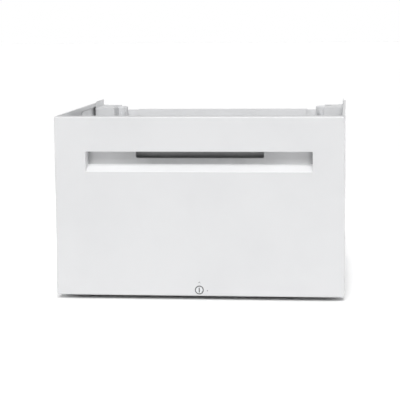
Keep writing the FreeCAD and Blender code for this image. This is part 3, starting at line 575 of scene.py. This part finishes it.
def screw_set(node, body, rise, outward):
    """Cross-recess screws in place of a node's plain ones.

    rise is the height of a head, and outward gives its direction from the middle of its screw.
    """
    whole = bmesh.new()
    heads = {}
    for low, high in solids_of(node):
        middle, size = (low + high) / 2, high - low
        direction = Vector(outward(middle))
        axis = max(range(3), key=lambda i: abs(direction[i]))
        radius = max(size[i] for i in range(3) if i != axis) / 2
        stem_length = size[axis] - rise
        key = round(radius, 6)
        if key not in heads:
            heads[key] = pan_head(radius, rise)
        tip = Vector(middle)
        tip[axis] = high[axis] if direction[axis] > 0 else low[axis]
        seat = tip - direction * rise
        turn = Matrix.Rotation(math.radians(HEAD_TURN * len(whole.verts) % 90), 4, "Z")
        copied(whole, heads[key], Matrix.Translation(seat) @ facing(direction) @ turn)
        stem = threaded(bmesh.new(), radius / 2, stem_length, SCREW_PITCH, 0.8, 20)
        foot = Matrix.Translation(seat - direction * stem_length)
        copied(whole, stem, foot @ facing(direction))
        stem.free()
    for bm in heads.values():
        bm.free()
    made = piece(f"{node[:-1]}_set", whole, body, FINISHES["zinc_screw"], 40)
    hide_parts(node)


def inwards(spot):
    return (-math.copysign(1, spot.x), 0, 0)


def backwards(_):
    return (0, 1, 0)


def upwards(_):
    return (0, 0, 1)


screw_set("runner_screws", "frame", 1.2 * MM, inwards)
screw_set("drawer_runner_screws", "drawer", 1.6 * MM, inwards)
screw_set("drawer_front_screws", "drawer", 1.6 * MM, backwards)
screw_set("rear_panel_screws", "frame", 0.8 * MM, backwards)
screw_set("foot_cup_screws", "frame", 1.6 * MM, upwards)


# ---- levelling feet


def foot_rubber(corner, low, high):
    """A foot's domed rubber pad, with a fluted grip band and a ringed sole."""
    reach, height = (high.x - low.x) / 2, high.z

    def flutes(angle, radius, level):
        banded = 0.28 * height < level < 0.72 * height and radius > 0.9 * reach
        return -0.35 * MM * (0.5 + 0.5 * math.cos(36 * angle)) if banded else 0.0

    groove = 0.9 * MM
    profile = [(0.0, groove)]
    for i in range(5):
        inner = reach * (0.18 + 0.15 * i)
        profile += [(inner, groove), (inner + 0.3 * MM, 0.0)]
        profile += [(inner + 1.4 * MM, 0.0), (inner + 1.7 * MM, groove)]
    shares = [(0.94, 0.0), (0.985, 0.06)]
    shares += [(1.0, up) for up in (0.16, 0.26, 0.3, 0.5, 0.7, 0.74)]
    shares += [(0.985, 0.84), (0.93, 0.93), (0.84, 0.98), (0.45, 1.0), (0.0, 1.0)]
    profile += [(across * reach, up * height) for across, up in shares]
    pad = turned(bmesh.new(), profile, 144, flutes)
    bmesh.ops.translate(pad, verts=pad.verts, vec=((low.x + high.x) / 2, (low.y + high.y) / 2, 0.0))
    finish = FINISHES["black_rubber"]
    rubber = piece(f"foot_rubber_{corner}", pad, f"foot_{corner}", finish, 35)
    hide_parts(f"foot_pad_{corner}")


def foot_thread(corner, centre, collar_low):
    """A foot's stud: a chamfered hexagon collar on a threaded stem."""
    low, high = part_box(f"foot_stud_{corner}")
    along_x, along_y = (high.x - low.x) / 2, (high.y - low.y) / 2
    reach, start = (along_x, 0.0) if along_x > along_y else (along_y, 30.0)
    outline = arc_points((0.0, 0.0), reach, start, start + 300.0, 5)
    collar = prism(bmesh.new(), outline, collar_low, COLLAR_TOP)
    flat, beyond, bevel = 0.87 * reach, 1.02 * reach, 0.7 * MM
    chamfer = [(0.0, collar_low), (flat, collar_low), (beyond, collar_low + bevel)]
    chamfer += [(beyond, COLLAR_TOP - bevel), (flat, COLLAR_TOP), (0.0, COLLAR_TOP)]
    whole = carved(collar, turned(bmesh.new(), chamfer, 60), "INTERSECT")
    stem = threaded(bmesh.new(), STUD_RADIUS, high.z - low.z, STUD_PITCH, 0.9, 36)
    copied(whole, stem, Matrix.Translation((0.0, 0.0, low.z)))
    stem.free()
    bmesh.ops.translate(whole, verts=whole.verts, vec=(centre.x, centre.y, 0.0))
    finish = FINISHES["zinc_plate"]
    stud = piece(f"foot_thread_{corner}", whole, f"foot_{corner}", finish, 28)
    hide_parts(f"foot_stud_{corner}")


def levelling_foot(corner):
    low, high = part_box(f"foot_pad_{corner}")
    foot_rubber(corner, low, high)
    foot_thread(corner, (low + high) / 2, high.z)


def knurled_inserts():
    """Press-in threaded inserts with a diamond knurl."""
    whole = bmesh.new()
    bore, lip, edge = STUD_RADIUS + 0.3 * MM, 0.6 * MM, 0.5 * MM
    for low, high in solids_of("foot_inserts"):
        reach = (high.x - low.x) / 2
        tall = high.z - low.z

        def knurl(angle, radius, level):
            if radius < 0.9 * reach or not 0.12 * tall < level < 0.88 * tall:
                return 0.0
            twist = 2 * math.pi * level / (4 * MM)
            crossed = abs(math.cos(14 * angle + twist)) * abs(math.cos(14 * angle - twist))
            return -0.25 * MM * (1 - crossed)

        profile = [(bore, 0.4 * MM), (bore + lip, 0.0), (reach - edge, 0.0), (reach, edge)]
        profile += [(reach, tall * (0.1 + 0.8 * i / 22)) for i in range(23)]
        profile += [(reach, tall - edge), (reach - edge, tall)]
        profile += [(bore + lip, tall), (bore, tall - 0.4 * MM), (bore, 0.4 * MM)]
        ring = turned(bmesh.new(), profile, 112, knurl)
        bmesh.ops.remove_doubles(ring, verts=ring.verts, dist=1e-7)
        place = ((low.x + high.x) / 2, (low.y + high.y) / 2, low.z)
        copied(whole, ring, Matrix.Translation(place))
        ring.free()
    made = piece("foot_insert_set", whole, "frame", FINISHES["zinc_plate"], 25)
    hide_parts("foot_inserts")


for end in ENDS:
    for side, _ in SIDES:
        levelling_foot(f"{end}_{side}")
knurled_inserts()


# ---- marks by the lock


def lock_marks():
    """A small caret over the coin slot for locked and a dot beside it for free, in thin print."""
    low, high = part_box("lock_housing")
    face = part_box("drawer_front_skin")[0].y
    middle_x, middle_z = (low.x + high.x) / 2, (low.z + high.z) / 2
    reach = (high.x - low.x) / 2
    tip, lift = middle_z + reach + 8.6 * MM, 0.06 * MM
    wide, tall, stroke = 2.6 * MM, 3.4 * MM, 0.95 * MM
    inner = wide - stroke
    outline = [(-wide, tip - tall), (0.0, tip), (wide, tip - tall)]
    outline += [(inner, tip - tall), (0.0, tip - 1.5 * stroke), (-inner, tip - tall)]
    marks = bmesh.new()
    rings = []
    for y in (face - lift, face + lift):
        rings.append([marks.verts.new((middle_x + x, y, z)) for x, z in outline])
    near, far = rings
    for half in ((0, 1, 4, 5), (1, 2, 3, 4)):
        marks.faces.new([near[i] for i in half])
        marks.faces.new([far[i] for i in reversed(half)])
    skinned(marks, rings)
    radius = 1.1 * MM
    dot = turned(bmesh.new(), [(0.0, -lift), (radius, -lift), (radius, lift), (0.0, lift)], 24)
    spot = Vector((middle_x + reach + 7.6 * MM, face, middle_z - 1.4 * MM))
    copied(marks, dot, Matrix.Translation(spot) @ facing((0.0, 1.0, 0.0)))
    dot.free()
    piece("lock_marks", marks, "drawer", PRINT_GREY, 30)


lock_marks()


# ---- dark linings that stand in for the shade in the finger slot and the coin slot


def rounded_rectangle(half_width, half_height, radius, steps=6):
    """The outline of a rectangle with round corners."""
    corners = []
    for sign_x, sign_z, start in ((1, 1, 0), (-1, 1, 90), (-1, -1, 180), (1, -1, 270)):
        centre = (sign_x * (half_width - radius), sign_z * (half_height - radius))
        corners += arc_points(centre, radius, start, start + 90, steps)
    return corners


def tray(outline_of, front, back, skin):
    """A thin tray, open towards -Y; outline_of gives its (x, z) outline at an inset."""
    bm = bmesh.new()
    rings = []
    for inset, y in ((0.0, back), (0.0, front), (skin, front), (skin, back - skin)):
        rings.append([bm.verts.new((x, y, z)) for x, z in outline_of(inset)])
    skinned(bm, rings)
    bm.faces.new(rings[0])
    bm.faces.new(list(reversed(rings[-1])))
    return bm


def slot_shade_lining():
    """A thin tray of dark plastic lining the finger slot above the grip recess; it stands in for
    the slot's shade.
    """
    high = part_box("grip_recess")[1]
    gap, top = 0.05 * MM, high.z - GRIP_WALL
    low_z, middle_z = top - 2 * SLOT_HALF_HEIGHT, top - SLOT_HALF_HEIGHT
    front = high.y - SLOT_DEPTH - 2 * GRIP_WALL + 0.2 * MM

    def outline(inset):
        edge = inset + gap
        size = (SLOT_HALF_WIDTH - edge, SLOT_HALF_HEIGHT - edge)
        return [(x, middle_z + z) for x, z in rounded_rectangle(*size, 4 * MM - inset)]

    # dark low and paler high in the slot: painted shade and painted light
    finish = slot_shade_plastic("slot_shade_plastic", low_z, top, (0.1, 0.101, 0.103), (0.42, 0.425, 0.43))
    made = tray(outline, front, high.y - GRIP_WALL - gap, 0.6 * MM)
    piece("slot_shade_lining", made, "drawer", finish, 35)


def coin_slot_shade_lining():
    """A dark insert at the bottom of the lock's coin slot that stands in for its shade."""
    low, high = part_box("lock_rotor")
    middle_x, middle_z = (low.x + high.x) / 2, (low.z + high.z) / 2
    gap = 0.03 * MM

    def outline(inset):
        edge = inset + gap
        size = (COIN_SLOT_HALF_WIDTH - edge, COIN_SLOT_HALF_LENGTH - edge)
        return [(middle_x + x, middle_z + z) for x, z in rounded_rectangle(*size, 0.3 * MM, 2)]

    made = tray(outline, low.y + 0.25 * MM, low.y + COIN_SLOT_DEPTH - gap, 0.2 * MM)
    piece("coin_slot_shade_lining", made, "lock_barrel", WELL_SHADE_GREY, 35)


coin_slot_shade_lining()
slot_shade_lining()


# ---- pressings and weld marks in the sheet steel


def stadium(half_width, half_length, steps=8):
    """A long round-ended outline, its length along Y."""
    straight = half_length - half_width
    spots = arc_points((0.0, straight), half_width, 0, 180, steps)
    return spots + arc_points((0.0, -straight), half_width, 180, 360, steps)


def swage(bm, matrix, half_width, half_length, rise):
    """A shallow pressed rib with rolled flanks and round ends, standing on Z = 0."""
    levels = [(1.0, -SUNK), (1.0, 0.0), (0.86, 0.22 * rise)]
    levels += [(0.7, 0.62 * rise), (0.5, 0.9 * rise), (0.25, rise)]
    rings = []
    for share, height in levels:
        inset = (1.0 - share) * half_width
        outline = stadium(half_width - inset, half_length - inset)
        rings.append([bm.verts.new(matrix @ Vector((x, y, height))) for x, y in outline])
    skinned(bm, rings)
    bm.faces.new(list(reversed(rings[0])))
    bm.faces.new(rings[-1])


def floor_ribs():
    """Stiffening ribs pressed up in the drawer's floor."""
    low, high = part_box("drawer_floor")
    middle_y, half_run = (low.y + high.y) / 2, 0.4 * (high.y - low.y)
    ribs = bmesh.new()
    for i in range(-3, 4):
        spot = Matrix.Translation((i * RIB_SPACING, middle_y, high.z))
        swage(ribs, spot, RIB_HALF_WIDTH, half_run, RIB_RISE)
    piece("drawer_floor_ribs", ribs, "drawer", FINISHES["drawer_grey"], 50)


def weld_mark(bm, matrix):
    """The shallow ring that a spot weld leaves."""
    profile = [(0.0, -SUNK), (2.9 * MM, -SUNK), (2.9 * MM, 0.02 * MM), (2.5 * MM, 0.13 * MM)]
    profile += [(2.0 * MM, 0.12 * MM), (1.5 * MM, 0.03 * MM), (0.0, 0.02 * MM)]
    ring = turned(bmesh.new(), profile, 24)
    copied(bm, ring, matrix)
    ring.free()


def outer_reach(low, high):
    """How far a box's outer face is from the middle of the width."""
    return max(abs(low.x), abs(high.x))


def weld_marks():
    """Spot welds on the posts, on the brackets' tops and on the side braces."""
    marks = bmesh.new()
    bracket_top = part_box("rear_panel")[1].z
    for side, sign in SIDES:
        turn = facing((-sign, 0.0, 0.0))
        for end in ENDS:
            low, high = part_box(f"corner_post_{end}_{side}")
            inner_face = low.x if sign > 0 else high.x
            for share in (0.08, 0.2, 0.33, 0.68, 0.8, 0.92):
                level = low.z + share * (high.z - low.z)
                spot = (inner_face, low.y + 0.5 * (high.y - low.y), level)
                weld_mark(marks, Matrix.Translation(spot) @ turn)
            low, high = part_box(f"corner_bracket_{end}_{side}")
            x = sign * (outer_reach(low, high) - WELD_MARGIN)
            for share in (0.25, 0.5, 0.75):
                spot = (x, low.y + share * (high.y - low.y), bracket_top)
                weld_mark(marks, Matrix.Translation(spot))
        low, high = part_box(f"side_brace_{side}")
        web = sign * (outer_reach(low, high) - SHEET)
        for share in (0.3, 0.6, 0.9):
            spot = (web, low.y + share * (high.y - low.y), high.z - WELD_MARGIN)
            weld_mark(marks, Matrix.Translation(spot) @ turn)
    piece("frame_weld_marks", marks, "frame", FINISHES["frame_white"], 50)


floor_ribs()
weld_marks()


# ---- every CAD part that stays in view


SPECIAL_FINISHES = {
    # the lock housing's dark grey is painted shade in its groove
    "lock_housing": WELL_SHADE_GREY,
    # the brackets' greyer white is painted shade, the rear panel's lighter white painted light
    "corner_bracket": BRACKET_SHADED_WHITE,
    "rear_panel": REAR_LIT_WHITE,
}


def rounded(thing, width):
    """Merges a CAD part's flats and rounds its hard edges a little."""
    weld = thing.modifiers.new("weld", "WELD")
    weld.merge_threshold = MERGE_GAP
    flat = thing.modifiers.new("merge_flats", "DECIMATE")
    flat.decimate_type = "DISSOLVE"
    flat.angle_limit = math.radians(FLAT_WITHIN)
    edge = thing.modifiers.new("edge", "BEVEL")
    edge.width = width
    edge.segments = 2
    edge.limit_method = "ANGLE"
    edge.angle_limit = math.radians(HARD_FROM)
    edge.use_clamp_overlap = True
    level = thing.modifiers.new("level_normals", "WEIGHTED_NORMAL")
    level.mode = "FACE_AREA"
    level.weight = 100
    level.keep_sharp = False


def finished(name):
    """Gives a CAD part its finish, and its rounded edges unless it is better without."""
    thing = NODES[name]
    finish = FINISHES[SLOT_OF[name]]
    for start, special in SPECIAL_FINISHES.items():
        if name.startswith(start):
            finish = special
    thing.data.materials.clear()
    thing.data.materials.append(finish)
    if not name.startswith(UNROUNDED):
        rounded(thing, EDGE_ROUND.get(name, USUAL_ROUND))
    for face in thing.data.polygons:
        face.use_smooth = True


for part in sorted(NODES):
    if not NODES[part].hide_render:
        finished(part)


# ---- studio


def studio_finish(name, colour):
    """Matt white with the faintest mottle."""
    finish = Finish(name, Specular_IOR_Level=0.0)
    mottle = finish.noise(3.0, 2.0)
    finish.colour(finish.blended(mottle, tint(*colour), tint(*scaled(0.99, colour))))
    finish.rough(0.6 + 0.1 * mottle)
    return finish.material


def studio_floor():
    mesh = bpy.data.meshes.new("studio_floor")
    level = cad_box[0].z
    signs = ((-1, -1), (1, -1), (1, 1), (-1, 1))
    corners = [(FLOOR_HALF * x, FLOOR_HALF * y, level) for x, y in signs]
    mesh.from_pydata(corners, [], [(0, 1, 2, 3)])
    mesh.materials.append(studio_finish("studio_white", (0.98, 0.98, 0.98)))
    linked("studio_floor", mesh)


def studio_air():
    """A dim room light, dimmer from the sides; the backdrop itself shows white."""
    world = bpy.data.worlds.new("studio_air")
    world.use_nodes = True
    work = NodeWork(world.node_tree)
    white = tint(1.0, 1.0, 1.0)
    room = work.tree.nodes["Background"]
    sideways = work.along("X", work.add("ShaderNodeTexCoord").outputs["Generated"])
    work.feed(room.inputs["Color"], white)
    work.feed(room.inputs["Strength"], ROOM_LIGHT - SIDE_DIMMING * sideways * sideways)
    backdrop = work.add("ShaderNodeBackground", None, {"Color": white, "Strength": 1.0})
    seen = work.add("ShaderNodeLightPath").outputs["Is Camera Ray"]
    shaders = {0: seen, 1: room.outputs[0], 2: backdrop.outputs[0]}
    either = work.add("ShaderNodeMixShader", None, shaders)
    work.feed(work.tree.nodes["World Output"].inputs["Surface"], either.outputs[0])
    bpy.context.scene.world = world


def towards(direction):
    """The turn that points a light or the camera along a direction."""
    return Vector(direction).to_track_quat("-Z", "Y")


def soft_sun(name, source, spread, strength):
    """A broad far light; source points from the object to the light."""
    data = bpy.data.lights.new(name, "SUN")
    data.angle = math.radians(spread)
    data.energy = strength
    linked(name, data).rotation_euler = towards(-Vector(source)).to_euler()


def area_light(name, place, target, size, watts):
    """A rectangular lamp; size is its width and height."""
    data = bpy.data.lights.new(name, "AREA")
    data.shape = "RECTANGLE"
    data.size, data.size_y = size
    data.energy = watts
    light = linked(name, data)
    light.location = place
    light.rotation_euler = towards(Vector(target) - Vector(place)).to_euler()


def studio_camera():
    lens = bpy.data.cameras.new("camera")
    lens.lens, lens.sensor_width = CAMERA_LENS, CAMERA_SENSOR
    lens.shift_x, lens.shift_y = CAMERA_SHIFT
    lens.clip_start, lens.clip_end = CAMERA_CLIP
    camera = linked("camera", lens)
    camera.location = CAMERA_PLACE
    level = towards(CAMERA_LOOK).to_matrix()
    camera.rotation_euler = (level @ Matrix.Rotation(CAMERA_ROLL, 3, "Z")).to_euler()
    bpy.context.scene.camera = camera
    bpy.context.scene.view_settings.view_transform = "Standard"


studio_floor()
studio_air()
soft_sun("front_skylight", (0.05, -0.72, 0.69), 30.0, 2.5)
area_light("side_fill", (1.3, -2.3, 0.5), (0.3, -0.25, 0.2), (0.7, 0.7), 0.8)
for sign in (-1, 1):
    place, target = (1.5 * sign, 1.0, 0.6), (0.4 * sign, -0.3, 0.1)
    area_light(f"back_fill_{sign + 1}", place, target, (0.9, 0.6), BACK_WATTS)
studio_camera()
